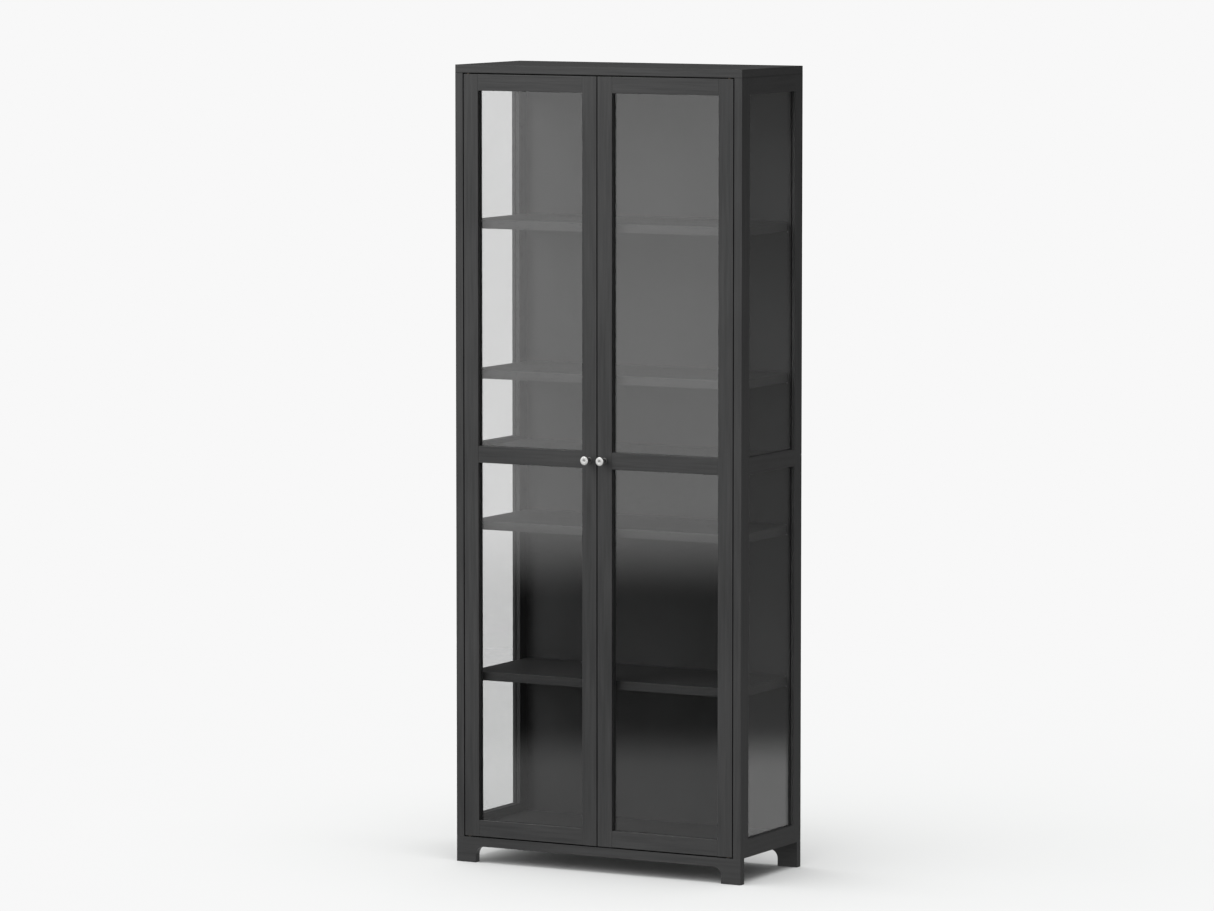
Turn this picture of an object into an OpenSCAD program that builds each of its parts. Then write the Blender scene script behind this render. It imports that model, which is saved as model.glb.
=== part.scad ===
// China cabinet with two glazed doors, glazed sides, shelves and arched foot boards.
// Millimetres, +Z up, front towards -Y. The origin is on the floor under the middle of the whole
// cabinet, knobs included. Inside placed(), y = 0 is the front face and y = depth is the back.

/* [Overall] */
// Width over the side frames
width = 800; // [700:5:900]
// Depth from the door faces to the back panels
depth = 330; // [300:5:400]
// Height from the floor to the top panel
height = 2000; // [1800:10:2100]

/* [Panels] */
// Thickness of the top panel
top_t = 20; // [18:1:24]
// Thickness of the bottom panel and of every shelf
shelf_t = 22; // [18:1:24]
// Thickness of the back panels
back_t = 3; // [3:0.5:5]
// Distance from the front face to the front edges of the shelves and the bottom panel
shelf_setback = 28; // [28:1:30]
// Gap between a loose shelf and what stands beside it
shelf_gap = 1; // [0.5:0.5:2]
// Tops of the four loose shelves, highest first
shelf_tops = [1614, 1239, 860, 480];
// Top of the fixed middle shelf
middle_shelf_top = 1040; // [1030:1:1045]

/* [Side frames] */
// Thickness of a side frame
side_t = 21; // [20:1:25]
// Width of the front stile of a side frame
side_front_stile = 42; // [40:1:50]
// Width of the rear stile of a side frame, without the back panel
side_rear_stile = 37; // [34:1:50]
// Height of the top rail of a side frame
side_top_rail = 42; // [40:1:50]
// Height of the bottom rail of a side frame
side_bottom_rail = 45; // [42:1:60]
// Thickness of the lip outside the side glass
side_lip = 8; // [6:1:10]

/* [Doors] */
// Thickness of a door frame
door_t = 22; // [20:1:24]
// Width of the door stiles
door_stile = 40; // [38:1:50]
// Height of the top and bottom rails of a door
door_rail = 41; // [38:1:50]
// Height of the middle rails, in the doors and in the side frames
middle_rail = 42; // [40:1:50]
// Underside of the middle rails
middle_rail_z = 1009; // [1004:0.5:1011]
// Thickness of the lip in front of the door glass
door_lip = 10; // [9:0.5:16]
// Gap round each door
door_gap = 3; // [2.5:0.5:4]

/* [Glass] */
// Thickness of every pane
glass_t = 3; // [3:0.5:4]
// Width of the rebate that holds a pane and its beads
rebate = 6; // [5:0.5:6.5]
// Gap between the edge of a pane and its rebate
glass_gap = 0.5; // [0.5:0.5:1]
// Gap between the beads where two of them meet
bead_gap = 0.2; // [0.1:0.1:0.5]

/* [Foot boards] */
// Height of the foot boards
foot_h = 64; // [60:1:70]
// Thickness of the foot boards
foot_t = 20; // [18:1:25]
// Width of each foot at the floor
foot_w = 54; // [50:1:70]
// Height of the arch between the feet
arch_h = 41; // [36:1:44]
// Radius of the arch's upper corners
arch_r = 22; // [15:1:30]

/* [Hardware] */
// Distance from a door's hinged edge to its pivot axis
pivot_inset = 12; // [11:0.5:13]
// Distance from the front face to the pivot axis
pivot_depth = 7; // [6.5:0.5:7.5]
// Radius of the pivot pins
pivot_r = 3; // [2.5:0.25:3]
// How far the knobs stand out from the doors
knob_reach = 28; // [24:1:32]
// Radius of the knobs
knob_r = 11; // [10:0.5:14]

/* [Hidden] */
$fn = 48;

paint = [0.27, 0.28, 0.29];
glass_tint = [0.80, 0.86, 0.86, 0.35];
steel = [0.75, 0.75, 0.77];
brass = [0.78, 0.62, 0.32];
black = [0.10, 0.10, 0.10];

LEFT = -1;
RIGHT = 1;
EPS = 0.5;
FIT = 0.05;

// Main levels and planes
front_y = (knob_reach - depth) / 2;
top_z = height - top_t;
inner_x = width / 2 - side_t;
frame_back = depth - back_t;
bottom_top = foot_h + shelf_t;
middle_shelf_z = middle_shelf_top - shelf_t;

// The two back panels meet behind the middle shelf, just above its screws
back_split = middle_shelf_top - 4;
back_split_gap = 1;

// Doors
door_x0 = door_gap / 2;
door_x1 = inner_x - door_gap;
door_z0 = foot_h + door_gap;
door_z1 = top_z - door_gap;
middle_rail_top = middle_rail_z + middle_rail;
pivot_x = door_x1 - pivot_inset;
knob_x = door_x0 + door_stile / 2;
knob_z = middle_rail_z + middle_rail / 2;

// Openings in a door as [low, high]: across the door from the cabinet's middle, then upwards
door_open_x = [door_x0 + door_stile, door_x1 - door_stile];
door_upper_z = [middle_rail_top, door_z1 - door_rail];
door_lower_z = [door_z0 + door_rail, middle_rail_z];

// Openings in a side frame as [low, high]: from the front face backwards, then upwards
side_open_y = [side_front_stile, frame_back - side_rear_stile];
side_upper_z = [middle_rail_top, top_z - side_top_rail];
side_lower_z = [foot_h + side_bottom_rail, middle_rail_z];

// Heights of the rails as [low, high]
side_top_z = [side_upper_z[1], top_z];
side_bottom_z = [foot_h, side_lower_z[0]];
middle_z = [middle_rail_z, middle_rail_top];
door_top_z = [door_upper_z[1], door_z1];
door_bottom_z = [door_z0, door_lower_z[0]];

// Pivots: the pin's flange and the bush's flange share the gap above and below a door
pivot_flange_r = 6;
pivot_flange_t = 1.4;
pivot_seat_r = 4;
pivot_seat_depth = 12;
pivot_reach = 14;
bush_r = 4.5;
bush_length = 15;

// Shelf pins
pin_r = 2.5;
pin_hole_depth = 10;
pin_reach = 9;
pin_flange_r = 3.5;
pin_flange_t = 0.8;
pin_front_y = side_front_stile - rebate - pin_r - 1;
pin_rear_y = frame_back - 18;

// Cam fittings
cam_r = 7.5;
cam_depth = 13;
cam_inset = 24;
cam_bolt_r = 3.5;
cam_bolt_seat = 11;
cam_ys = [80, 250];

// Knobs
knob_flange_r = 7.5;
knob_flange_t = 2;
knob_flange_edge_r = 0.8;
knob_neck_r = 5;
knob_edge_r = 2;
knob_head_t = 9;
knob_dimple_r = 3.2;
knob_dimple_depth = 1.4;

// Knob screws
knob_screw_r = 2;
knob_screw_depth = 12;
knob_screw_head_r = 4;
knob_screw_head_t = 2.4;

// Catches
catch_size = [40, 20, 13];
catch_x = 30;
catch_gap = 0.6;
strike_size = [28, 1.2, 12];
// One catch stands on the bottom panel and one hangs under the top panel
catch_zs = [bottom_top, top_z - catch_size[2]];

// The strip behind the front foot board
cleat_h = 8;
cleat_overlap = 6;
cleat_end_gap = 0.5;

// Screws for the back panels and the foot brackets
screw_r = 1.5;
screw_head_r = 3.4;
screw_head_t = 1.2;
screw_length = 15;
back_screw_x = width / 2 - side_t / 2;
back_screw_zs = [110, 330, 550, 770, 990, 1070, 1290, 1510, 1730, 1945];
back_screw_xs = [-250, 0, 250];
bracket_xs = [-300, 0, 300];
bracket_w = 30;
bracket_leg_h = 20;
bracket_leg_y = 34;
bracket_t = 2;
bracket_screw_out = 24;
bracket_screw_drop = 12;

// ---------------------------------------------------------------- helpers

// Moves a piece from front-face coordinates into the cabinet's own frame
module placed() {
    translate([0, front_y, 0]) children();
}

// A box from its low corner to its high corner
module box(low, high) {
    translate(low) cube(high - low);
}

// A box on one side of the middle: x counts outwards from the middle plane
module side_box(side, low, high) {
    x0 = side == LEFT ? -high[0] : low[0];
    translate([x0, low[1], low[2]]) cube(high - low);
}

// A round bar along X, Y or Z from a start point
module bar_x(start, length, r) {
    translate(start) rotate([0, 90, 0]) cylinder(r = r, h = length);
}

module bar_y(start, length, r) {
    translate(start) rotate([-90, 0, 0]) cylinder(r = r, h = length);
}

module bar_z(start, length, r) {
    translate(start) cylinder(r = r, h = length);
}

// A round bar along X that starts at the distance x from the middle and runs outwards
module bar_out(side, x, y, z, length, r) {
    bar_x([side == LEFT ? -x - length : x, y, z], length, r);
}

// ---------------------------------------------------------------- panels and shelves

// Holes in the end of a panel: the bolt's hole and the cam's pocket from below
module panel_end_holes(side, panel_z) {
    for (y = cam_ys) {
        bar_out(side, inner_x - cam_inset - cam_r, y, panel_z + shelf_t / 2,
            cam_inset + cam_r + EPS, cam_bolt_r + FIT);
        bar_z([side * (inner_x - cam_inset), y, panel_z - EPS], cam_depth + EPS, cam_r + FIT);
    }
}

module top_panel() {
    color(paint) placed() difference() {
        box([-width / 2, 0, top_z], [width / 2, depth, height]);
        for (side = [LEFT, RIGHT]) {
            bar_z([side * pivot_x, pivot_depth, top_z - EPS], pivot_seat_depth + 1 + EPS,
                pivot_seat_r + FIT);
            for (y = cam_ys)
                bar_z([side * (inner_x + side_t / 2), y, top_z - EPS], cam_bolt_seat + EPS,
                    cam_bolt_r + FIT);
        }
    }
}

// A panel held between the side frames by cam fittings
module fixed_panel(z0) {
    difference() {
        box([-inner_x, shelf_setback, z0], [inner_x, frame_back, z0 + shelf_t]);
        for (side = [LEFT, RIGHT])
            panel_end_holes(side, z0);
        for (x = back_screw_xs)
            bar_y([x, frame_back - screw_length + back_t, z0 + shelf_t / 2], screw_length,
                screw_r + FIT);
    }
}

module bottom_panel() {
    color(paint) placed() difference() {
        fixed_panel(foot_h);
        bracket_screw_holes();
    }
}

module middle_shelf() {
    color(paint) placed() fixed_panel(middle_shelf_z);
}

module loose_shelf(index) {
    z1 = shelf_tops[index];
    color(paint) placed()
        box([-inner_x + shelf_gap, shelf_setback, z1 - shelf_t],
            [inner_x - shelf_gap, frame_back - shelf_gap, z1]);
}

// Places of the back panel's screws as [x, z], from one height to another
function back_screws(z0, z1) = concat(
    [for (z = back_screw_zs, side = [LEFT, RIGHT]) if (z > z0 && z < z1) [side * back_screw_x, z]],
    [for (x = back_screw_xs, z = [foot_h, middle_shelf_z]) if (z + shelf_t / 2 > z0 && z < z1)
        [x, z + shelf_t / 2]]);

module back_panel(z0, z1) {
    color(paint) placed() difference() {
        box([-width / 2, frame_back, z0], [width / 2, depth, z1]);
        for (p = back_screws(z0, z1)) {
            bar_y([p[0], frame_back - EPS, p[1]], back_t + 2 * EPS, screw_r + FIT);
            bar_y([p[0], depth - screw_head_t, p[1]], screw_head_t + EPS, screw_head_r + FIT);
        }
    }
}

module back_panel_upper() {
    back_panel(back_split, top_z);
}

module back_panel_lower() {
    back_panel(foot_h + 1, back_split - back_split_gap);
}

// ---------------------------------------------------------------- foot boards

// The board's outline, with its arch, seen from the front
module foot_outline() {
    reach = width / 2 - foot_w;
    difference() {
        translate([-width / 2, 0]) square([width, foot_h]);
        translate([-reach, -1]) square([2 * reach, arch_h - arch_r + 1]);
        translate([-reach + arch_r, -1]) square([2 * (reach - arch_r), arch_h + 1]);
        for (side = [LEFT, RIGHT])
            translate([side * (reach - arch_r), arch_h - arch_r]) circle(r = arch_r);
    }
}

module foot_board(y0) {
    translate([0, y0 + foot_t, 0]) rotate([90, 0, 0]) linear_extrude(foot_t) foot_outline();
}

module front_foot_board() {
    color(paint) placed() difference() {
        foot_board(0);
        for (side = [LEFT, RIGHT])
            bar_z([side * pivot_x, pivot_depth, foot_h - pivot_seat_depth - 1],
                pivot_seat_depth + 1 + EPS, pivot_seat_r + FIT);
        bracket_screw_holes();
    }
}

module rear_foot_board() {
    color(paint) placed() difference() {
        foot_board(depth - foot_t);
        bracket_screw_holes();
    }
}

// A strip behind the front foot board carries the bottom panel's front edge, and closes the gap
// between them. It is notched round the steel angles.
module front_cleat() {
    cleat_y = [foot_t, shelf_setback + cleat_overlap];
    color(paint) placed() difference() {
        box([-inner_x + cleat_end_gap, cleat_y[0], foot_h - cleat_h],
            [inner_x - cleat_end_gap, cleat_y[1], foot_h]);
        for (x = bracket_xs) {
            box([x - bracket_w / 2 - FIT, cleat_y[0] - EPS, foot_h - cleat_h - EPS],
                [x + bracket_w / 2 + FIT, cleat_y[0] + bracket_t + FIT, foot_h + EPS]);
            box([x - bracket_w / 2 - FIT, cleat_y[0] - EPS, foot_h - bracket_t - FIT],
                [x + bracket_w / 2 + FIT, cleat_y[1] + EPS, foot_h + EPS]);
        }
    }
}

// ---------------------------------------------------------------- side frames

// The rebates behind the outer lip, for both panes of one side frame
module side_rebates(side) {
    for (z = [side_lower_z, side_upper_z])
        side_box(side, [inner_x - EPS, side_open_y[0] - rebate, z[0] - rebate],
            [width / 2 - side_lip, side_open_y[1] + rebate, z[1] + rebate]);
}

// Pin holes for the loose shelves and screw holes for the back panels
module side_holes(side) {
    for (z1 = shelf_tops, y = [pin_front_y, pin_rear_y])
        bar_out(side, inner_x - EPS, y, z1 - shelf_t - pin_r, pin_hole_depth + EPS, pin_r + FIT);
    for (z = back_screw_zs)
        bar_y([side * back_screw_x, frame_back - screw_length + back_t, z], screw_length,
            screw_r + FIT);
}

// Bolt holes for the two fixed panels, and bolt holes and cam pockets for the top panel
module side_cam_holes(side) {
    for (y = cam_ys) {
        for (z0 = [foot_h, middle_shelf_z])
            bar_out(side, inner_x - EPS, y, z0 + shelf_t / 2, cam_bolt_seat + EPS,
                cam_bolt_r + FIT);
        bar_z([side * (inner_x + side_t / 2), y, top_z - cam_inset - cam_r],
            cam_inset + cam_r + EPS, cam_bolt_r + FIT);
        bar_out(side, inner_x - EPS, y, top_z - cam_inset, cam_depth + EPS, cam_r + FIT);
    }
}

// One stile or rail, from y and z limits, with every recess that reaches it
module side_member(side, y, z) {
    color(paint) placed() difference() {
        side_box(side, [inner_x, y[0], z[0]], [width / 2, y[1], z[1]]);
        side_rebates(side);
        side_holes(side);
        side_cam_holes(side);
    }
}

module side_front_stile(side) {
    side_member(side, [0, side_front_stile], [foot_h, top_z]);
}

module side_rear_stile(side) {
    side_member(side, [side_open_y[1], frame_back], [foot_h, top_z]);
}

module side_rail(side, z) {
    side_member(side, side_open_y, z);
}

module side_glass(side, z) {
    edge = rebate - glass_gap;
    color(glass_tint) placed()
        side_box(side, [width / 2 - side_lip - glass_t, side_open_y[0] - edge, z[0] - edge],
            [width / 2 - side_lip, side_open_y[1] + edge, z[1] + edge]);
}

// Four strips round each opening fill the rebate behind the glass
module side_glass_beads(side) {
    x = [inner_x, width / 2 - side_lip - glass_t];
    color(paint) placed()
        for (z = [side_lower_z, side_upper_z]) {
            for (y = [side_open_y[0] - rebate, side_open_y[1]])
                side_box(side, [x[0], y, z[0] - rebate], [x[1], y + rebate, z[1] + rebate]);
            for (z0 = [z[0] - rebate, z[1]])
                side_box(side, [x[0], side_open_y[0] + bead_gap, z0],
                    [x[1], side_open_y[1] - bead_gap, z0 + rebate]);
        }
}

// ---------------------------------------------------------------- doors

// The rebates behind the front lip, for both panes of one door
module door_rebates(side) {
    for (z = [door_lower_z, door_upper_z])
        side_box(side, [door_open_x[0] - rebate, door_lip, z[0] - rebate],
            [door_open_x[1] + rebate, door_t + EPS, z[1] + rebate]);
}

// Seats of the pivot bushes, and the knob screw's hole
module door_holes(side) {
    bar_z([side * pivot_x, pivot_depth, door_z0 - EPS], bush_length + EPS, bush_r + FIT);
    bar_z([side * pivot_x, pivot_depth, door_z1 - bush_length], bush_length + EPS, bush_r + FIT);
    bar_y([side * knob_x, -EPS, knob_z], door_t + 2 * EPS, knob_screw_r + FIT);
}

// One stile or rail of a door, with x counted outwards from the cabinet's middle
module door_member(side, x, z) {
    color(paint) placed() difference() {
        side_box(side, [x[0], 0, z[0]], [x[1], door_t, z[1]]);
        door_rebates(side);
        door_holes(side);
    }
}

module door_hinge_stile(side) {
    door_member(side, [door_open_x[1], door_x1], [door_z0, door_z1]);
}

module door_meeting_stile(side) {
    door_member(side, [door_x0, door_open_x[0]], [door_z0, door_z1]);
}

module door_rail_piece(side, z) {
    door_member(side, door_open_x, z);
}

module door_glass(side, z) {
    edge = rebate - glass_gap;
    color(glass_tint) placed()
        side_box(side, [door_open_x[0] - edge, door_lip, z[0] - edge],
            [door_open_x[1] + edge, door_lip + glass_t, z[1] + edge]);
}

module door_glass_beads(side) {
    y = [door_lip + glass_t, door_t];
    color(paint) placed()
        for (z = [door_lower_z, door_upper_z]) {
            for (x = [door_open_x[0] - rebate, door_open_x[1]])
                side_box(side, [x, y[0], z[0] - rebate], [x + rebate, y[1], z[1] + rebate]);
            for (z0 = [z[0] - rebate, z[1]])
                side_box(side, [door_open_x[0] + bead_gap, y[0], z0],
                    [door_open_x[1] - bead_gap, y[1], z0 + rebate]);
        }
}

// ---------------------------------------------------------------- knobs

// Points of an arc in the half-plane of a turned profile
function arc(centre, r, from, to, steps = 10) = [
    for (i = [0:steps])
        let (a = from + (to - from) * i / steps)
        centre + r * [cos(a), sin(a)]
];

// A turned knob: base flange, waisted neck, drum head and a dished face with a centre dimple
module knob_shape() {
    waist = knob_reach - knob_head_t - knob_flange_t;
    rotate_extrude($fn = 64) polygon(concat(
        [[0, 0], [knob_flange_r, 0]],
        arc([knob_flange_r, knob_flange_t] - [1, 1] * knob_flange_edge_r, knob_flange_edge_r, 0, 90, 4),
        [[knob_neck_r + 0.6, knob_flange_t], [knob_neck_r, knob_flange_t + 1.5]],
        [[knob_neck_r, knob_flange_t + waist * 0.6]],
        [[knob_neck_r + 1.5, knob_flange_t + waist * 0.85]],
        arc([knob_r - knob_edge_r, knob_reach - knob_head_t + knob_edge_r], knob_edge_r, -90, 0, 6),
        arc([knob_r - knob_edge_r, knob_reach - knob_edge_r], knob_edge_r, 0, 90, 6),
        [[knob_dimple_r + 1, knob_reach]],
        [[knob_dimple_r, knob_reach - 0.5], [0, knob_reach - knob_dimple_depth]]
    ));
}

module knob(side) {
    color(steel) placed() translate([side * knob_x, 0, knob_z]) rotate([90, 0, 0])
        difference() {
            knob_shape();
            bar_z([0, 0, -EPS], knob_screw_depth + 1 + EPS, knob_screw_r + FIT);
        }
}

module knob_screw(side) {
    color(steel) placed() {
        bar_y([side * knob_x, -knob_screw_depth, knob_z], knob_screw_depth + door_t, knob_screw_r);
        bar_y([side * knob_x, door_t, knob_z], knob_screw_head_t, knob_screw_head_r);
    }
}

// ---------------------------------------------------------------- pivots and catches

// A flanged bush pressed into the door, its flange outside the end it sits in
module bush(length) {
    rotate_extrude($fn = 64) polygon([
        [pivot_r + FIT, -length], [bush_r, -length], [bush_r, 0], [pivot_flange_r, 0],
        [pivot_flange_r, pivot_flange_t], [pivot_r + FIT, pivot_flange_t]
    ]);
}

module pivot_bushes(side) {
    color(brass) placed() {
        translate([side * pivot_x, pivot_depth, door_z1]) bush(bush_length);
        translate([side * pivot_x, pivot_depth, door_z0]) mirror([0, 0, 1]) bush(bush_length);
    }
}

// A pin seated in the carcass, with a flange in the gap and its free end in the door's bush
module pivot_pin() {
    rotate_extrude($fn = 64) polygon([
        [0, -door_gap - pivot_reach + 1], [pivot_r - 0.6, -door_gap - pivot_reach + 1],
        [pivot_r, -door_gap - pivot_reach + 2], [pivot_r, -pivot_flange_t],
        [pivot_flange_r, -pivot_flange_t], [pivot_flange_r, 0], [pivot_seat_r, 0],
        [pivot_seat_r, pivot_seat_depth], [0, pivot_seat_depth]
    ]);
}

module pivot_pins() {
    color(steel) placed()
        for (side = [LEFT, RIGHT]) {
            translate([side * pivot_x, pivot_depth, top_z]) pivot_pin();
            translate([side * pivot_x, pivot_depth, foot_h]) mirror([0, 0, 1]) pivot_pin();
        }
}

module magnetic_catches() {
    y0 = door_t + strike_size[1] + catch_gap;
    color(black) placed()
        for (side = [LEFT, RIGHT], z = catch_zs) {
            low = [catch_x - catch_size[0] / 2, y0, z];
            side_box(side, low, low + catch_size);
        }
}

module strike_plates(side) {
    color(steel) placed()
        for (z = catch_zs) {
            low = [catch_x - strike_size[0] / 2, door_t, z + (catch_size[2] - strike_size[2]) / 2];
            side_box(side, low, low + strike_size);
        }
}

// ---------------------------------------------------------------- small hardware

// A shelf pin: shank in the frame, thin flange against it and a stub under the shelf
module shelf_pin(side, y, z) {
    bar_out(side, inner_x, y, z, pin_hole_depth - 1, pin_r);
    bar_out(side, inner_x - pin_reach, y, z, pin_reach, pin_r);
    bar_out(side, inner_x - pin_flange_t, y, z, pin_flange_t, pin_flange_r);
}

module shelf_pins() {
    color(steel) placed()
        for (side = [LEFT, RIGHT], z1 = shelf_tops, y = [pin_front_y, pin_rear_y])
            shelf_pin(side, y, z1 - shelf_t - pin_r);
}

// The bolts run from the side frames into the fixed panels, and from the top panel down
module cam_bolts() {
    color(steel) placed()
        for (side = [LEFT, RIGHT], y = cam_ys) {
            for (z0 = [foot_h, middle_shelf_z])
                bar_out(side, inner_x - cam_inset, y, z0 + shelf_t / 2,
                    cam_inset + cam_bolt_seat - 1, cam_bolt_r);
            bar_z([side * (inner_x + side_t / 2), y, top_z - cam_inset],
                cam_inset + cam_bolt_seat - 1, cam_bolt_r);
        }
}

// A cam: a low drum with a slot across it that takes the bolt's end
module cam(slot_height) {
    drum = cam_depth - 0.5;
    difference() {
        cylinder(r = cam_r, h = drum);
        translate([0, 0, slot_height])
            rotate([0, 90, 0]) cylinder(r = cam_bolt_r + FIT, h = cam_r + 1);
        translate([0, 0, slot_height]) sphere(r = cam_bolt_r + FIT);
        translate([0, 0, -EPS]) cylinder(r = 2, h = 1.5 + EPS);
    }
}

module cam_locks() {
    color(steel) placed()
        for (side = [LEFT, RIGHT], y = cam_ys) {
            for (z0 = [foot_h, middle_shelf_z])
                translate([side * (inner_x - cam_inset), y, z0])
                    rotate([0, 0, side == LEFT ? 180 : 0]) cam(shelf_t / 2);
            translate([side * inner_x, y, top_z - cam_inset])
                rotate([0, side * 90, 0]) rotate([0, 0, side == LEFT ? 0 : 180])
                    cam(side_t / 2);
        }
}

// A screw along Y: its flat head let into the back panel, its shank running forwards
module back_screw(x, z) {
    bar_y([x, depth - screw_length + 1, z], screw_length - 1, screw_r);
    bar_y([x, depth - screw_head_t, z], screw_head_t, screw_head_r);
}

module back_panel_screws() {
    color(steel) placed()
        for (p = back_screws(foot_h, top_z))
            back_screw(p[0], p[1]);
}

// Steel angles that tie each foot board to the bottom panel
module foot_bracket(x) {
    leg_z = foot_h - bracket_leg_h;
    difference() {
        union() {
            box([x - bracket_w / 2, foot_t, leg_z], [x + bracket_w / 2, foot_t + bracket_t, foot_h]);
            box([x - bracket_w / 2, foot_t, foot_h - bracket_t],
                [x + bracket_w / 2, foot_t + bracket_leg_y, foot_h]);
        }
        bracket_screw_pair(x, screw_r + FIT);
    }
}

// Both screws of one bracket: forwards into the board and upwards into the panel
module bracket_screw_pair(x, r) {
    bar_y([x, foot_t - screw_length + bracket_t, foot_h - bracket_screw_drop], screw_length, r);
    bar_z([x, foot_t + bracket_screw_out, foot_h - bracket_t], screw_length, r);
}

module bracket_screw_heads(x) {
    bar_y([x, foot_t + bracket_t, foot_h - bracket_screw_drop], screw_head_t, screw_head_r);
    bar_z([x, foot_t + bracket_screw_out, foot_h - bracket_t - screw_head_t], screw_head_t,
        screw_head_r);
}

// Repeats what belongs to the front board at the rear board, facing the other way
module front_and_rear() {
    children();
    translate([0, depth, 0]) mirror([0, 1, 0]) children();
}

module bracket_screw_holes() {
    front_and_rear() for (x = bracket_xs) bracket_screw_pair(x, screw_r + FIT);
}

module foot_brackets() {
    color(steel) placed() front_and_rear() for (x = bracket_xs) foot_bracket(x);
}

module foot_bracket_screws() {
    color(steel) placed() front_and_rear()
        for (x = bracket_xs) {
            bracket_screw_pair(x, screw_r);
            bracket_screw_heads(x);
        }
}

// ---------------------------------------------------------------- nodes

top_panel();
bottom_panel();
middle_shelf();
loose_shelf(0);  // shelf_1
loose_shelf(1);  // shelf_2
loose_shelf(2);  // shelf_3
loose_shelf(3);  // shelf_4
back_panel_upper();
back_panel_lower();
front_foot_board();
rear_foot_board();
front_cleat();

side_front_stile(LEFT);  // left_side_front_stile
side_rear_stile(LEFT);  // left_side_rear_stile
side_rail(LEFT, side_top_z);  // left_side_top_rail
side_rail(LEFT, middle_z);  // left_side_middle_rail
side_rail(LEFT, side_bottom_z);  // left_side_bottom_rail
side_glass(LEFT, side_upper_z);  // left_side_upper_glass
side_glass(LEFT, side_lower_z);  // left_side_lower_glass
side_glass_beads(LEFT);  // left_side_glass_beads

side_front_stile(RIGHT);  // right_side_front_stile
side_rear_stile(RIGHT);  // right_side_rear_stile
side_rail(RIGHT, side_top_z);  // right_side_top_rail
side_rail(RIGHT, middle_z);  // right_side_middle_rail
side_rail(RIGHT, side_bottom_z);  // right_side_bottom_rail
side_glass(RIGHT, side_upper_z);  // right_side_upper_glass
side_glass(RIGHT, side_lower_z);  // right_side_lower_glass
side_glass_beads(RIGHT);  // right_side_glass_beads

door_hinge_stile(LEFT);  // left_door_hinge_stile
door_meeting_stile(LEFT);  // left_door_meeting_stile
door_rail_piece(LEFT, door_top_z);  // left_door_top_rail
door_rail_piece(LEFT, middle_z);  // left_door_middle_rail
door_rail_piece(LEFT, door_bottom_z);  // left_door_bottom_rail
door_glass(LEFT, door_upper_z);  // left_door_upper_glass
door_glass(LEFT, door_lower_z);  // left_door_lower_glass
door_glass_beads(LEFT);  // left_door_glass_beads
knob(LEFT);  // left_knob
knob_screw(LEFT);  // left_knob_screw
pivot_bushes(LEFT);  // left_pivot_bushes
strike_plates(LEFT);  // left_strike_plates

door_hinge_stile(RIGHT);  // right_door_hinge_stile
door_meeting_stile(RIGHT);  // right_door_meeting_stile
door_rail_piece(RIGHT, door_top_z);  // right_door_top_rail
door_rail_piece(RIGHT, middle_z);  // right_door_middle_rail
door_rail_piece(RIGHT, door_bottom_z);  // right_door_bottom_rail
door_glass(RIGHT, door_upper_z);  // right_door_upper_glass
door_glass(RIGHT, door_lower_z);  // right_door_lower_glass
door_glass_beads(RIGHT);  // right_door_glass_beads
knob(RIGHT);  // right_knob
knob_screw(RIGHT);  // right_knob_screw
pivot_bushes(RIGHT);  // right_pivot_bushes
strike_plates(RIGHT);  // right_strike_plates

pivot_pins();
magnetic_catches();
shelf_pins();
cam_bolts();
cam_locks();
back_panel_screws();
foot_brackets();
foot_bracket_screws();
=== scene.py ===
import math

import bmesh
import bpy
from mathutils import Matrix, Vector


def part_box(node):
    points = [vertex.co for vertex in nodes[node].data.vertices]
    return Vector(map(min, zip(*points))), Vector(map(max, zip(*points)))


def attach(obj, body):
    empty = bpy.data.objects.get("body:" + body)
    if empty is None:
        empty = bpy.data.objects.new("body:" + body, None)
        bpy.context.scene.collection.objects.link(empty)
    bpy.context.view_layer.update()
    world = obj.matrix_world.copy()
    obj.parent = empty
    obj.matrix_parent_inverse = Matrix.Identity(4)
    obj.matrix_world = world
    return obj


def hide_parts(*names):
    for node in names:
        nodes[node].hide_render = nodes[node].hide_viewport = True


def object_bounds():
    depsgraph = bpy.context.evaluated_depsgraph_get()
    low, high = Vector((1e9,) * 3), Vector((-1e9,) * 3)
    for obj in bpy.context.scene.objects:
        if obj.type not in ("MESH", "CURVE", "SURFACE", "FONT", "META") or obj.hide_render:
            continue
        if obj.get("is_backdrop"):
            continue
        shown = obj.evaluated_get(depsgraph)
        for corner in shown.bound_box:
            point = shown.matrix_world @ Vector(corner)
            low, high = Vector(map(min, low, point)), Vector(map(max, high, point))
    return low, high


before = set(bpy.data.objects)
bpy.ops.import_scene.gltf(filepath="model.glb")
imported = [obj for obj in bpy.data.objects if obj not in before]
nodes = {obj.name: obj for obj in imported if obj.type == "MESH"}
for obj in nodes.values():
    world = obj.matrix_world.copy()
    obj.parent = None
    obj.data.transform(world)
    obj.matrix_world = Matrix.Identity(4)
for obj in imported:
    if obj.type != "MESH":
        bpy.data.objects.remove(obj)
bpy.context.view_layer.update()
MM = 0.001
X, Y, Z = 0, 1, 2


# ---------------------------------------------------------------- camera

IMAGE_WIDTH = 1214
FOCAL_LENGTH = 6274.9  # in pixels of the photograph's width
AZIMUTH, PITCH = math.radians(28.2172), math.radians(5.5079)
AIM = Vector((-0.0469, -0.0112, 1.0281))
DISTANCE = 15.6398


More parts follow.
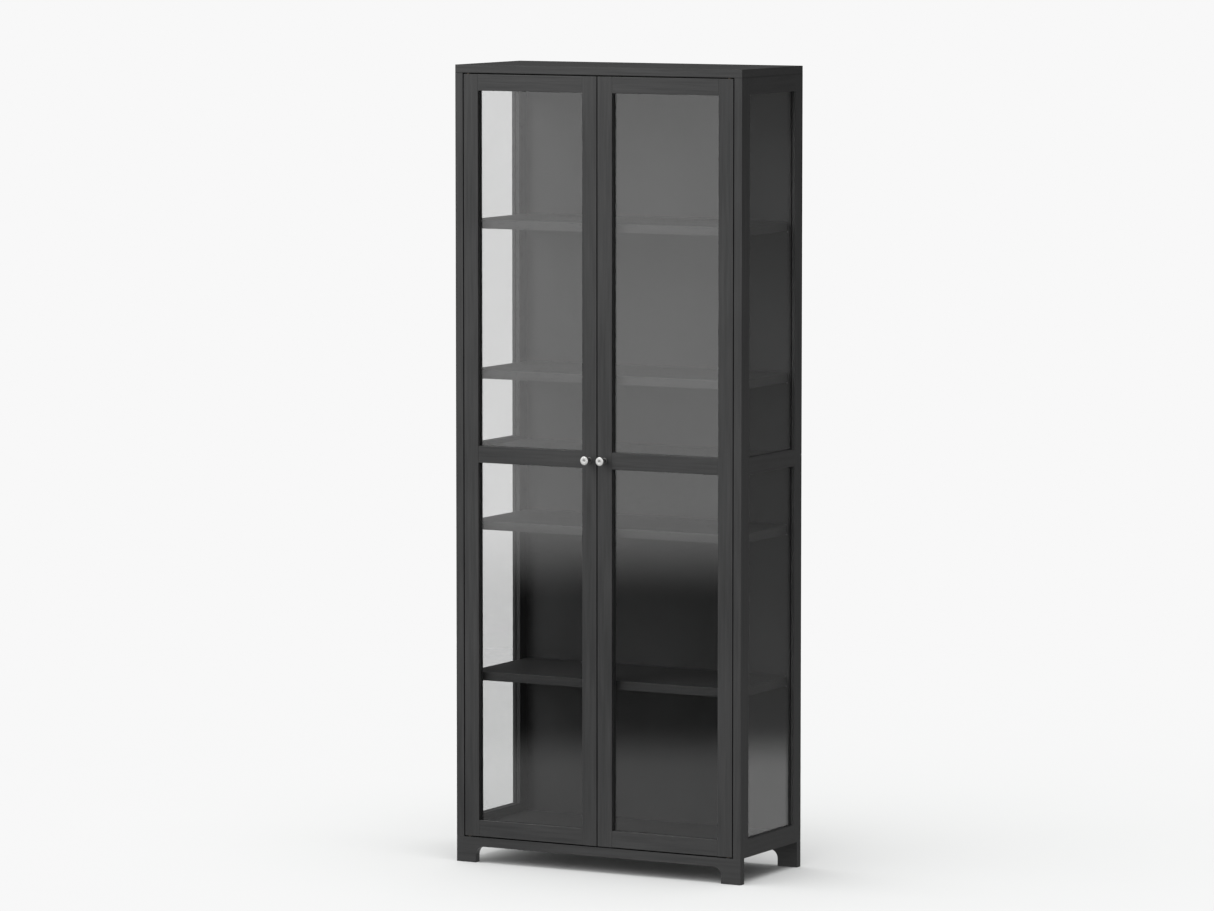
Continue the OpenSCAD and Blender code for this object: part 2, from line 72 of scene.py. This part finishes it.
def add_camera():
    """The camera at the photograph's angle, aimed at a point near the middle of the cabinet."""
    forward = Vector((-math.sin(AZIMUTH) * math.cos(PITCH),
                      math.cos(AZIMUTH) * math.cos(PITCH), -math.sin(PITCH)))
    data = bpy.data.cameras.new("camera")
    data.sensor_width = 36.0
    data.lens = data.sensor_width * FOCAL_LENGTH / IMAGE_WIDTH
    data.clip_start, data.clip_end = 0.1, 400.0
    camera = bpy.data.objects.new("camera", data)
    bpy.context.scene.collection.objects.link(camera)
    camera.location = AIM - forward * DISTANCE
    camera.rotation_euler = forward.to_track_quat("-Z", "Y").to_euler()
    bpy.context.scene.camera = camera


# ---------------------------------------------------------------- node helpers

class Tree:
    """A node tree being built: each call adds one node and returns the socket that matters."""

    def __init__(self, tree):
        self.tree = tree

    def node(self, kind, settings=None, **inputs):
        n = self.tree.nodes.new("ShaderNode" + kind)
        for key, value in (settings or {}).items():
            setattr(n, key, value)
        for key, value in inputs.items():
            self.put(n.inputs[key.replace("_", " ")], value)
        return n

    def put(self, socket, value):
        if isinstance(value, bpy.types.NodeSocket):
            self.tree.links.new(value, socket)
        elif isinstance(value, (tuple, list)) and len(value) == 3 and len(socket.default_value) == 4:
            socket.default_value = (*value, 1.0)
        else:
            socket.default_value = value

    def math(self, operation, a, b=None):
        n = self.tree.nodes.new("ShaderNodeMath")
        n.operation = operation
        self.put(n.inputs[0], a)
        if b is not None:
            self.put(n.inputs[1], b)
        return n.outputs[0]

    def remap(self, value, low, high, to_low=0.0, to_high=1.0, smooth=False):
        n = self.tree.nodes.new("ShaderNodeMapRange")
        n.interpolation_type = "SMOOTHSTEP" if smooth else "LINEAR"
        for socket, v in zip(n.inputs, (value, low, high, to_low, to_high)):
            self.put(socket, v)
        return n.outputs[0]

    def mix(self, factor, a, b):
        n = self.tree.nodes.new("ShaderNodeMix")
        n.data_type = "RGBA"
        self.put(n.inputs[0], factor)
        self.put(n.inputs[6], a)
        self.put(n.inputs[7], b)
        return n.outputs[2]

    def noise(self, vector, scale, detail=4.0, roughness=0.55):
        n = self.node("TexNoise", {"noise_dimensions": "3D"}, Vector=vector, Scale=scale, Detail=detail,
                      Roughness=roughness)
        return n.outputs["Fac"]

    def stretched(self, scale=(1.0, 1.0, 1.0)):
        """The object's own coordinates in metres, scaled along each axis."""
        coords = self.tree.nodes.new("ShaderNodeTexCoord").outputs["Object"]
        return self.node("Mapping", Vector=coords, Scale=scale).outputs["Vector"]

    def dot(self, a, b):
        n = self.tree.nodes.new("ShaderNodeVectorMath")
        n.operation = "DOT_PRODUCT"
        self.put(n.inputs[0], a)
        self.put(n.inputs[1], b)
        return n.outputs["Value"]

    def bump(self, height, strength, distance, normal=None):
        n = self.node("Bump", Strength=strength, Distance=distance, Height=height)
        if normal is not None:
            self.put(n.inputs["Normal"], normal)
        return n.outputs["Normal"]


def new_material(name):
    material = bpy.data.materials.new(name)
    material.use_nodes = True
    material.node_tree.nodes.clear()
    return material, Tree(material.node_tree)


def surface(t, shader):
    out = t.tree.nodes.new("ShaderNodeOutputMaterial")
    t.tree.links.new(shader, out.inputs["Surface"])


def grey(value, warm=0.0):
    """A near-neutral linear colour, slightly warm or cool."""
    return (value * (1 + warm), value, value * (1 - warm))


# ---------------------------------------------------------------- materials

PAINT = 0.0272  # linear reflectance of the charcoal paint
SHEEN = 0.3  # specular level of the paint
GRAIN_ALONG, GRAIN_ACROSS = 5.0, 125.0  # streaks per metre
RUB_ALONG, RUB_ACROSS = 14.0, 60.0
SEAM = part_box("top_panel")[0].z  # level of the joint under the top panel
SEAM_CORE, SEAM_RIM, SEAM_TONE = 0.9 * MM, 1.9 * MM, 0.25


def along_grain(t, axis, along, across):
    """Coordinates that a noise turns into streaks along one axis."""
    scale = [across] * 3
    scale[axis] = along
    return t.stretched(scale)


def seamed(t, colour):
    """The paint's colour with the shadow line that the joint under the top panel leaves in it."""
    height = t.node("SeparateXYZ", Vector=t.stretched()).outputs["Z"]
    off = t.math("ABSOLUTE", t.math("SUBTRACT", height, SEAM))
    return t.mix(t.remap(off, SEAM_CORE, SEAM_RIM), grey(PAINT * SEAM_TONE), colour)


def painted(t, colour, rough, normal):
    """The paint film: a Principled shader with the paint's own specular level."""
    shader = t.node("BsdfPrincipled", Base_Color=colour, Roughness=rough, Normal=normal)
    shader.inputs["Specular IOR Level"].default_value = SHEEN
    surface(t, shader.outputs[0])


def paint_material(name, axis):
    """Satin charcoal paint over wood: the grain runs along one axis and shows faintly through the film."""
    material, t = new_material(name)
    along = along_grain(t, axis, GRAIN_ALONG, GRAIN_ACROSS)
    even = t.stretched()
    grain = t.noise(along, 1.0, 6.0, 0.62)
    pores = t.noise(along, 3.1, 3.0, 0.5)
    mottle = t.noise(even, 2.3, 3.0, 0.5)
    stipple = t.noise(even, 900.0, 2.0, 0.5)
    shade = t.math("ADD", t.math("MULTIPLY", grain, 0.6), t.math("MULTIPLY", mottle, 0.4))
    colour = t.mix(t.remap(shade, 0.36, 0.64), grey(PAINT * 0.64, -0.012), grey(PAINT * 1.37, -0.002))
    rough = t.math("ADD", t.remap(mottle, 0.3, 0.7, 0.40, 0.48), t.remap(grain, 0.3, 0.7, -0.03, 0.04))
    fine = t.bump(stipple, 0.10, 0.2 * MM)
    wood = t.bump(t.math("ADD", grain, t.math("MULTIPLY", pores, 0.6)), 0.30, 1.0 * MM, fine)
    painted(t, seamed(t, colour), rough, wood)
    return material


def edge_material(name, axis):
    """The same paint where it thins and rubs over a rounded edge: lighter in patches and a little shinier."""
    material, t = new_material(name)
    rub = t.noise(along_grain(t, axis, RUB_ALONG, RUB_ACROSS), 1.0, 5.0, 0.7)
    speck = t.noise(t.stretched(), 420.0, 2.0, 0.6)
    worn = t.math("MULTIPLY", t.remap(rub, 0.50, 0.72), t.remap(speck, 0.42, 0.60))
    colour = t.mix(worn, grey(PAINT * 1.15, -0.01), grey(PAINT * 2.3, 0.03))
    painted(t, seamed(t, colour), t.remap(rub, 0.3, 0.7, 0.34, 0.48), t.bump(speck, 0.12, 0.2 * MM))
    return material


def board_material():
    """Thin fibreboard, painted: flat, slightly cloudy, with a fine pressed texture."""
    material, t = new_material("painted_fibreboard")
    even = t.stretched()
    cloud = t.noise(even, 6.0, 5.0, 0.6)
    fibre = t.noise(t.stretched((260.0, 260.0, 190.0)), 1.0, 4.0, 0.7)
    shade = t.math("ADD", t.math("MULTIPLY", cloud, 0.6), t.math("MULTIPLY", fibre, 0.4))
    colour = t.mix(t.remap(shade, 0.3, 0.7), grey(PAINT * 0.92, -0.012), grey(PAINT * 1.10, -0.004))
    painted(t, colour, t.remap(cloud, 0.3, 0.7, 0.50, 0.60), t.bump(fibre, 0.12, 0.3 * MM))
    return material


GLASS_IOR = 1.52


def mixed(t, share, first, second):
    """Two shaders mixed: share is how much of the second shows."""
    both = t.node("MixShader")
    for socket, value in zip(both.inputs, (share, first.outputs[0], second.outputs[0])):
        t.put(socket, value)
    surface(t, both.outputs[0])


def glass_material():
    """A clear pane: each face passes light with a slight tint and mirrors more towards grazing."""
    material, t = new_material("clear_pane")
    behind = t.tree.nodes.new("ShaderNodeNewGeometry").outputs["Backfacing"]
    ior = t.remap(behind, 0.0, 1.0, GLASS_IOR, 1 / GLASS_IOR)
    share = t.node("Fresnel", IOR=ior).outputs[0]
    smear = t.noise(t.stretched((9.0, 9.0, 5.0)), 1.0, 5.0, 0.6)
    tint = t.mix(t.remap(smear, 0.35, 0.7), (0.916, 0.917, 0.917), (0.908, 0.909, 0.909))
    clear = t.node("BsdfTransparent", Color=tint)
    mirror = t.node("BsdfGlossy", Color=t.mix(smear, (0.99, 0.99, 0.985), (0.96, 0.96, 0.955)), Roughness=0.0)
    mixed(t, share, clear, mirror)
    return material


def metal_material(name, colour, rough, speckle, depth=0.2 * MM):
    """Metal with a small drift in tone, and a cast or plated surface."""
    material, t = new_material(name)
    even = t.stretched()
    drift = t.noise(even, 90.0, 4.0, 0.6)
    fine = t.noise(even, 1400.0, 3.0, 0.6)
    low = tuple(c * (1 - speckle) for c in colour)
    high = tuple(min(c * (1 + speckle), 1.0) for c in colour)
    base = t.mix(t.remap(drift, 0.3, 0.7), low, high)
    roughness = t.math("ADD", t.remap(drift, 0.3, 0.7, rough - 0.04, rough + 0.05),
                       t.remap(fine, 0.3, 0.7, -0.03, 0.03))
    shader = t.node("BsdfPrincipled", Base_Color=base, Metallic=1.0, Roughness=roughness,
                    Normal=t.bump(fine, 0.25, depth))
    surface(t, shader.outputs[0])
    return material


def plastic_material():
    """Black moulded plastic with a fine spark-eroded texture."""
    material, t = new_material("catch_housing")
    even = t.stretched()
    spark = t.noise(even, 1500.0, 2.0, 0.5)
    drift = t.noise(even, 60.0, 3.0, 0.5)
    shader = t.node("BsdfPrincipled", Base_Color=t.mix(drift, grey(0.010), grey(0.018)),
                    Roughness=t.remap(drift, 0.3, 0.7, 0.40, 0.52), Normal=t.bump(spark, 0.3, 0.1 * MM))
    surface(t, shader.outputs[0])
    return material


# ---------------------------------------------------------------- finishing the CAD nodes

def finish_wood(node, axis, width=0.9):
    """Paints a wooden node with the grain along axis, and rounds its edges."""
    o = nodes[node]
    o.data.materials.clear()
    o.data.materials.append(PAINTS[axis])
    o.data.materials.append(EDGES[axis])
    round_edges(o, width, 1)


def round_edges(o, width, edge_slot=0):
    """Rounds a node's edges by modifiers; the rounded faces take the material in edge_slot."""
    weld = o.modifiers.new("weld", "WELD")
    weld.merge_threshold = 1e-5
    flat = o.modifiers.new("flat", "DECIMATE")
    flat.decimate_type = "DISSOLVE"
    flat.angle_limit = math.radians(0.4)
    bevel = o.modifiers.new("bevel", "BEVEL")
    bevel.width = width * MM
    bevel.segments = 2
    bevel.limit_method = "ANGLE"
    bevel.angle_limit = math.radians(40)
    bevel.harden_normals = False
    bevel.material = edge_slot
    normals = o.modifiers.new("normals", "WEIGHTED_NORMAL")
    normals.keep_sharp = False


def cover(node, material):
    """Gives a whole node one material."""
    o = nodes[node]
    o.data.materials.clear()
    o.data.materials.append(material)


add_camera()
PAINTS = [paint_material(f"satin_paint_{a}", i) for i, a in enumerate("xyz")]
EDGES = [edge_material(f"paint_edge_{a}", i) for i, a in enumerate("xyz")]
BOARD = board_material()
GLASS = glass_material()
NICKEL = metal_material("satin_nickel", (0.56, 0.56, 0.55), 0.30, 0.04)
# The knob's neck and flange take a darkened copy of the nickel: painted shade, kept dark as if in the shadow
# of the head.
NICKEL_NECK_SHADE = metal_material("satin_nickel_neck_painted_shade", (0.13, 0.13, 0.128), 0.50, 0.08)
# The dish in the knob's face takes a darker copy of the nickel: painted shade in the hollow.
NICKEL_DISH_SHADE = metal_material("satin_nickel_dish_painted_shade", (0.30, 0.30, 0.295), 0.50, 0.08)
ZINC = metal_material("zinc_plated_steel_finish", (0.62, 0.64, 0.66), 0.34, 0.08)
CAST = metal_material("cast_zinc_finish", (0.44, 0.44, 0.45), 0.50, 0.10, depth=0.4 * MM)
# The bushes' brass is darkened far below real brass: painted shade, the shade of the narrow gaps at the
# doors' pivots where they sit.
BRASS_SHADE = metal_material("brass_painted_shade", (0.055, 0.040, 0.025), 0.50, 0.12)
BLACK_ZINC = metal_material("black_zinc_plating", (0.040, 0.040, 0.043), 0.44, 0.15)
MAGNET = metal_material("ferrite_magnet", (0.055, 0.055, 0.058), 0.62, 0.12)
PLASTIC = plastic_material()

BOARDS = ("top_panel", "bottom_panel", "middle_shelf", "shelf_1", "shelf_2", "shelf_3", "shelf_4",
          "front_foot_board", "rear_foot_board", "front_cleat")
STEEL = ("shelf_pins", "cam_bolts", "foot_brackets")

for name in nodes:
    if "stile" in name:
        finish_wood(name, Z)
    elif "side" in name and "rail" in name:
        finish_wood(name, Y, 1.8 if "middle" in name else 0.9)
    elif "door" in name and "rail" in name or name in BOARDS:
        finish_wood(name, X)
    elif name.endswith("glass_beads"):
        finish_wood(name, Z, 0.4)
    elif name.startswith("back_panel") and name != "back_panel_screws":
        cover(name, BOARD)
    elif name.endswith("glass"):
        cover(name, GLASS)
        nodes[name].visible_shadow = False
    elif name.endswith("_knob"):
        cover(name, NICKEL)
    elif name == "pivot_pins":
        cover(name, BLACK_ZINC)
    elif name.endswith(("screws", "screw", "strike_plates")) or name in STEEL:
        cover(name, ZINC)
    elif name == "cam_locks":
        cover(name, CAST)
    elif name.endswith("bushes"):
        cover(name, BRASS_SHADE)
    elif name == "magnetic_catches":
        cover(name, PLASTIC)


# ---------------------------------------------------------------- detailed fittings

def islands(node):
    """(low, high, points) of each separate solid in a CAD node, in metres."""
    bm = bmesh.new()
    bm.from_mesh(nodes[node].data)
    bmesh.ops.remove_doubles(bm, verts=bm.verts, dist=1e-5)
    seen, found = set(), []
    for first in bm.verts:
        if first in seen:
            continue
        seen.add(first)
        stack, points = [first], []
        while stack:
            v = stack.pop()
            points.append(v.co.copy())
            for e in v.link_edges:
                other = e.other_vert(v)
                if other not in seen:
                    seen.add(other)
                    stack.append(other)
        low = Vector([min(p[i] for p in points) for i in range(3)])
        high = Vector([max(p[i] for p in points) for i in range(3)])
        found.append((low, high, points))
    bm.free()
    return found


def end_frame(island, direction):
    """A frame at one end of a solid, with its z pointing out of that end."""
    low, high, _ = island
    centre, half = (low + high) / 2, (high - low) / 2
    origin = Vector([centre[i] + direction[i] * half[i] for i in range(3)])
    return Matrix.Translation(origin) @ direction.to_track_quat("Z", "Y").to_matrix().to_4x4()


def head_end(island):
    """The direction of the wider end of a long turned solid."""
    low, high, points = island
    axis = max(range(3), key=lambda i: high[i] - low[i])
    centre, reach = (low + high) / 2, (high[axis] - low[axis]) * 0.04

    def width(end):
        return max(math.hypot(*(p[i] - centre[i] for i in range(3) if i != axis))
                   for p in points if abs(p[axis] - end) < reach)

    direction = Vector((0, 0, 0))
    direction[axis] = 1 if width(high[axis]) >= width(low[axis]) else -1
    return direction


def cam_face(island):
    """Where a cam's slotted face looks: down, or inwards from a side frame."""
    size = island[1] - island[0]
    if size.z < size.x:
        return Vector((0, 0, -1))
    return Vector((-math.copysign(1, island[0].x), 0, 0))


def plus(arm, half):
    """The outline of a cross recess, as radius by angle."""
    def radius(angle):
        turn = abs((angle + math.pi / 4) % (math.pi / 2) - math.pi / 4)
        side = half / math.sin(turn) if turn > 1e-6 else arm
        return min(arm / math.cos(turn), side)
    return radius


def rounded(points, size, steps=4):
    """A turned profile in mm with its corners rounded, by size or by a corner's own third value."""
    out = []
    for i, point in enumerate(points):
        if i in (0, len(points) - 1) or callable(point[0]):
            out.append(point[:2])
            continue
        before, after = points[i - 1], points[i + 1]
        if callable(before[0]) or callable(after[0]):
            out.append(point[:2])
            continue
        here = Vector(point[:2])
        a, b = Vector(before[:2]) - here, Vector(after[:2]) - here
        r = min(point[2] if len(point) > 2 else size, a.length * 0.48, b.length * 0.48)
        if r <= 0:
            out.append(point[:2])
            continue
        p, q = here + a.normalized() * r, here + b.normalized() * r
        for k in range(steps + 1):
            u = k / steps
            v = p * (1 - u) ** 2 + here * 2 * u * (1 - u) + q * u ** 2
            out.append((v.x, v.y))
    return out


def turn(bm, place, profile, segments=32, material=0):
    """Adds a turned solid to bm. profile runs from tip to head as (radius in mm or outline, height in mm)."""
    rings = []
    for radius, height in profile:
        if not callable(radius) and radius < 1e-6:
            rings.append([bm.verts.new(place @ Vector((0, 0, height * MM)))])
            continue
        ring = []
        for k in range(segments):
            angle = 2 * math.pi * k / segments
            r = (radius(angle) if callable(radius) else radius) * MM
            ring.append(bm.verts.new(place @ Vector((r * math.cos(angle), r * math.sin(angle), height * MM))))
        rings.append(ring)
    for a, b in zip(rings, rings[1:]):
        for k in range(segments):
            n = (k + 1) % segments
            if len(a) == 1:
                face = bm.faces.new((a[0], b[n], b[k]))
            elif len(b) == 1:
                face = bm.faces.new((a[k], a[n], b[0]))
            else:
                face = bm.faces.new((a[k], a[n], b[n], b[k]))
            face.smooth = True
            face.material_index = material


def block(bm, low, high, radius, material=0):
    """Adds a box between two corners in metres, with its edges rounded to a radius in mm."""
    box = bmesh.ops.create_cube(bm, size=1.0)["verts"]
    centre, size = (low + high) / 2, high - low
    for v in box:
        v.co = Vector([centre[i] + v.co[i] * size[i] for i in range(3)])
    edges = list({e for v in box for e in v.link_edges})
    faces = {f for v in box for f in v.link_faces}
    made = bmesh.ops.bevel(bm, geom=edges, offset=radius * MM, segments=3, profile=0.5,
                           affect="EDGES")["faces"]
    for f in list(faces) + list(made):
        if f.is_valid:
            f.material_index = material
            f.smooth = True


SHARP = math.radians(35)


def replace_node(node, body, materials, bm):
    """Puts the mesh in the scene in place of a CAD node."""
    bmesh.ops.recalc_face_normals(bm, faces=bm.faces)
    mesh = bpy.data.meshes.new(node + "_detail")
    bm.to_mesh(mesh)
    bm.free()
    for material in materials:
        mesh.materials.append(material)
    mesh.set_sharp_from_angle(angle=SHARP)
    o = bpy.data.objects.new(node + "_detail", mesh)
    bpy.context.scene.collection.objects.link(o)
    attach(o, body)
    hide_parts(node)
    return o


def add_turned(node, body, material, profile, segments=32, facing=head_end):
    """Replaces every turned solid of a node by the same profile at its head end."""
    bm = bmesh.new()
    for island in islands(node):
        turn(bm, end_frame(island, facing(island)), profile, segments)
    return replace_node(node, body, [material], bm)


def screw_profile(length, shank, head, tall, dome):
    """A cross-recess screw from its tip to the top of its head at height 0, with a head tall high."""
    cap = rounded([(shank, -tall), (head, -tall, 0.15), (head, -dome), (head * 0.72, 0.0),
                   (head * 0.6, 0.0)], 0.4)
    deep = min(tall * 0.8, head * 0.45)
    return ([(0.0, -length), (shank * 0.5, -length + shank), (shank, -length + shank * 2.2)] + cap
            + [(plus(head * 0.50, head * 0.15), 0.0), (plus(head * 0.42, head * 0.12), -deep),
               (0.0, -deep * 1.1)])


# The knob, from the door screw's hole to the flange and neck, the round head, and the dish in its face
KNOB_NECK = [(0.0, -15.0), (2.05, -15.0), (2.05, -28.0)] + rounded(
    [(7.5, -28.0), (7.5, -26.0, 0.6), (5.5, -26.0, 0.6), (5.0, -24.2), (5.0, -16.6, 3.0), (6.6, -11.2, 1.6),
     (9.0, -9.0)], 1.0, 6)
KNOB_HEAD = rounded([(9.0, -9.0), (11.0, -9.0, 2.0), (11.0, 0.0, 2.2), (4.0, 0.0, 0.5), (3.5, -0.3)], 1.0, 8)
KNOB_DISH = [(3.5 * math.cos(a), -0.3 - 0.7 * math.sin(a)) for a in (0.0, 0.25, 0.5, 0.75, 1.0, 1.25)] + [
    (0.0, -1.0)]

PIVOT_BUSH = [(3.15, 0.0), (3.15, -16.4)] + rounded(
    [(3.15, -16.4), (4.5, -16.4, 0.4), (4.5, -1.4, 0.3), (6.0, -1.4, 0.3), (6.0, 0.0, 0.3),
     (3.15, 0.0)], 0.3)[1:]
STRIKE_SCREW = rounded([(0.0, -0.9), (1.6, -0.9), (2.7, -0.2), (2.7, -0.1), (2.2, 0.0), (1.7, 0.0)], 0.1) + [
    (plus(1.4, 0.42), 0.0), (plus(1.1, 0.32), -0.5), (0.0, -0.5)]
CAM = rounded(
    [(0.0, -12.5), (7.3, -12.5, 0.6), (7.3, -9.0, 0.2), (6.7, -8.6, 0.2), (6.7, -3.4, 0.2), (7.3, -3.0, 0.2),
     (7.5, -1.0, 0.3), (7.5, 0.0, 0.5), (5.6, 0.0, 0.2), (5.2, -0.5, 0.2), (4.4, -0.5, 0.2)], 0.3) + [
    (plus(3.4, 0.95), -0.5), (plus(2.9, 0.8), -2.6), (0.0, -2.8)]

for side in ("left", "right"):
    door = side + "_door"
    bm = bmesh.new()
    for island in islands(side + "_knob"):
        place = end_frame(island, Vector((0, -1, 0)))
        # Slots 1 and 2 hold the darkened copies of the nickel for the neck and the dish: painted shade.
        turn(bm, place, KNOB_NECK, 64, 1)
        turn(bm, place, KNOB_HEAD, 64, 0)
        turn(bm, place, KNOB_DISH, 64, 2)
    bmesh.ops.remove_doubles(bm, verts=bm.verts, dist=1e-6)
    replace_node(side + "_knob", door, [NICKEL, NICKEL_NECK_SHADE, NICKEL_DISH_SHADE], bm)
    add_turned(side + "_knob_screw", door, ZINC, screw_profile(36.4, 2.0, 4.0, 2.4, 0.9))
    add_turned(side + "_pivot_bushes", door, BRASS_SHADE, PIVOT_BUSH)
    bm = bmesh.new()
    for low, high, _ in islands(side + "_strike_plates"):
        block(bm, low, high, 0.4)
        middle = (low + high) / 2
        place = Matrix.Translation((middle.x, high.y + 0.12 * MM, middle.z))
        place = place @ Matrix.Rotation(-math.pi / 2, 4, "X")
        turn(bm, place, STRIKE_SCREW)
    replace_node(side + "_strike_plates", door, [BLACK_ZINC], bm)

add_turned("back_panel_screws", "carcass", ZINC,
           screw_profile(14.0, 1.5, 3.4, 1.2, 0.4), 24)
add_turned("foot_bracket_screws", "carcass", ZINC,
           screw_profile(16.2, 1.5, 3.4, 1.2, 0.5), 24)
add_turned("cam_locks", "carcass", CAST, CAM, 32, cam_face)

bm = bmesh.new()
for low, high, _ in islands("magnetic_catches"):
    front, inside = low.y, low.y + 6 * MM
    block(bm, Vector((low.x, front + 0.7 * MM, low.z)), high, 1.3)
    for share in (0.36, 0.64):
        x = low.x + (high.x - low.x) * share
        block(bm, Vector((x - 1.0 * MM, front, low.z + 2.2 * MM)),
              Vector((x + 1.0 * MM, inside, high.z - 2.2 * MM)), 0.35, 1)
    block(bm, Vector((low.x + 15.6 * MM, front + 0.35 * MM, low.z + 3.2 * MM)),
          Vector((high.x - 15.6 * MM, inside, high.z - 3.2 * MM)), 0.3, 2)
replace_node("magnetic_catches", "carcass", [PLASTIC, ZINC, MAGNET], bm)

for name in ("pivot_pins", "shelf_pins", "cam_bolts", "foot_brackets"):
    round_edges(nodes[name], 0.5 if name == "foot_brackets" else 0.25)


# ---------------------------------------------------------------- floor and light

FLOOR_RADIUS = 6.0
FADE_START, FADE_END = 2.4, 5.6


def add_floor():
    """A pale floor that fades out at its rim, so that it has no horizon."""
    mesh = bpy.data.meshes.new("floor")
    bm = bmesh.new()
    bmesh.ops.create_circle(bm, cap_ends=True, cap_tris=True, segments=96, radius=FLOOR_RADIUS)
    bm.to_mesh(mesh)
    bm.free()
    floor = bpy.data.objects.new("floor", mesh)
    bpy.context.scene.collection.objects.link(floor)
    floor.location.z = -0.0004
    material, t = new_material("pale_floor")
    coords = t.tree.nodes.new("ShaderNodeTexCoord").outputs["Object"]
    away = t.node("VectorMath", {"operation": "LENGTH"})
    t.put(away.inputs[0], coords)
    fade = t.remap(away.outputs["Value"], FADE_START, FADE_END, smooth=True)
    cloud = t.noise(coords, 1.7, 3.0, 0.5)
    diffuse = t.node("BsdfDiffuse", Color=t.mix(cloud, (0.580, 0.585, 0.582), (0.592, 0.597, 0.594)))
    mixed(t, fade, diffuse, t.node("BsdfTransparent"))
    mesh.materials.append(material)
    floor.visible_glossy = False
    floor.visible_diffuse = False
    floor.visible_shadow = False
    floor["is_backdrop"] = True
    return floor


BACKDROP = 1.0
SKY_AXIS = (-0.80, -0.60, 0.0)  # the soft light's stronger side
SKY_LEFT, SKY_RIGHT, GROUND = 1.85, 0.21, 0.30
WALL_AXIS = (-0.47, -0.88, 0.0)  # the reflected wall's brighter side
WALL_LEFT, WALL_RIGHT = 1.50, 0.02
FAR_LEFT, FAR_RIGHT = 0.03, 0.12  # what is reflected everywhere, also below the wall
LOW = 0.48  # the lit floor in reflections
WALL_FOOT, FLOOR_EDGE = (-0.1193, -0.1037), (-0.1383, -0.1461)  # heights of those directions


def add_world():
    """White backdrop; soft light that is stronger from the front left; and for reflections the bright
    wall, the dark gap under it and the lit floor in front of it."""
    world = bpy.data.worlds.new("studio")
    bpy.context.scene.world = world
    world.use_nodes = True
    world.node_tree.nodes.clear()
    t = Tree(world.node_tree)
    direction = t.tree.nodes.new("ShaderNodeTexCoord").outputs["Generated"]
    z = t.node("SeparateXYZ", Vector=direction).outputs["Z"]
    side = t.dot(direction, WALL_AXIS)
    wall = t.math("MULTIPLY", t.remap(z, *WALL_FOOT, smooth=True),
                  t.remap(side, -0.5, 0.9, WALL_RIGHT, WALL_LEFT, smooth=True))
    low = t.remap(z, *FLOOR_EDGE, 0.0, LOW, smooth=True)
    far = t.remap(side, -0.9, 0.3, FAR_RIGHT, FAR_LEFT, smooth=True)
    gloss = t.math("ADD", t.math("ADD", wall, low), far)
    sky = t.remap(t.dot(direction, SKY_AXIS), -0.9, 0.9, SKY_RIGHT, SKY_LEFT)
    sky = t.math("MULTIPLY", sky, t.remap(z, 0.0, 0.6, 0.55, 1.15, smooth=True))
    soft = t.mix(t.remap(z, -0.06, 0.06, smooth=True), (GROUND,) * 3, sky)
    path = t.tree.nodes.new("ShaderNodeLightPath")
    shown = t.mix(path.outputs["Is Glossy Ray"], soft, gloss)
    shown = t.mix(path.outputs["Is Camera Ray"], shown, (BACKDROP,) * 3)
    background = t.node("Background", Color=shown)
    out = t.tree.nodes.new("ShaderNodeOutputWorld")
    t.tree.links.new(background.outputs[0], out.inputs["Surface"])


def add_lamp(name, kind, place, travel, energy, shown):
    """A lamp whose light travels one way and falls only on the objects in shown."""
    data = bpy.data.lights.new(name, kind)
    data.energy = energy
    lamp = bpy.data.objects.new(name, data)
    bpy.context.scene.collection.objects.link(lamp)
    lamp.location = place
    lamp.rotation_euler = Vector(travel).to_track_quat("-Z", "Y").to_euler()
    lit = bpy.data.collections.new("lit_by_" + name)
    for o in shown:
        lit.objects.link(o)
    lamp.light_linking.receiver_collection = lit
    return data


def set_tones():
    """The display curve: tones as rendered, with the whites rounded off just below full white."""
    view = bpy.context.scene.view_settings
    view.view_transform = "Standard"
    view.use_curve_mapping = True
    curves = view.curve_mapping
    curves.clip_max_x, curves.clip_max_y = 4.0, 1.0
    curve = curves.curves[3]
    curve.points[1].location = (4.0, 0.942)
    for x, y in ((0.80, 0.80), (0.90, 0.885), (0.98, 0.933), (1.10, 0.94)):
        curve.points.new(x, y)
    curves.update()


floor = add_floor()
add_world()
cabinet = [o for o in bpy.data.objects if o.type == "MESH" and o is not floor]
key = add_lamp("key", "AREA", (-2.2, -3.6, 4.0), (2.2, 3.6, -2.5), 92.0, cabinet)
key.shape, key.size = "SQUARE", 2.2
overhead = add_lamp("overhead", "SUN", (0.0, 0.0, 4.0), (-0.150, 0.087, -0.985), 1.85, [floor])
overhead.angle = math.radians(45)
set_tones()

low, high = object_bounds()
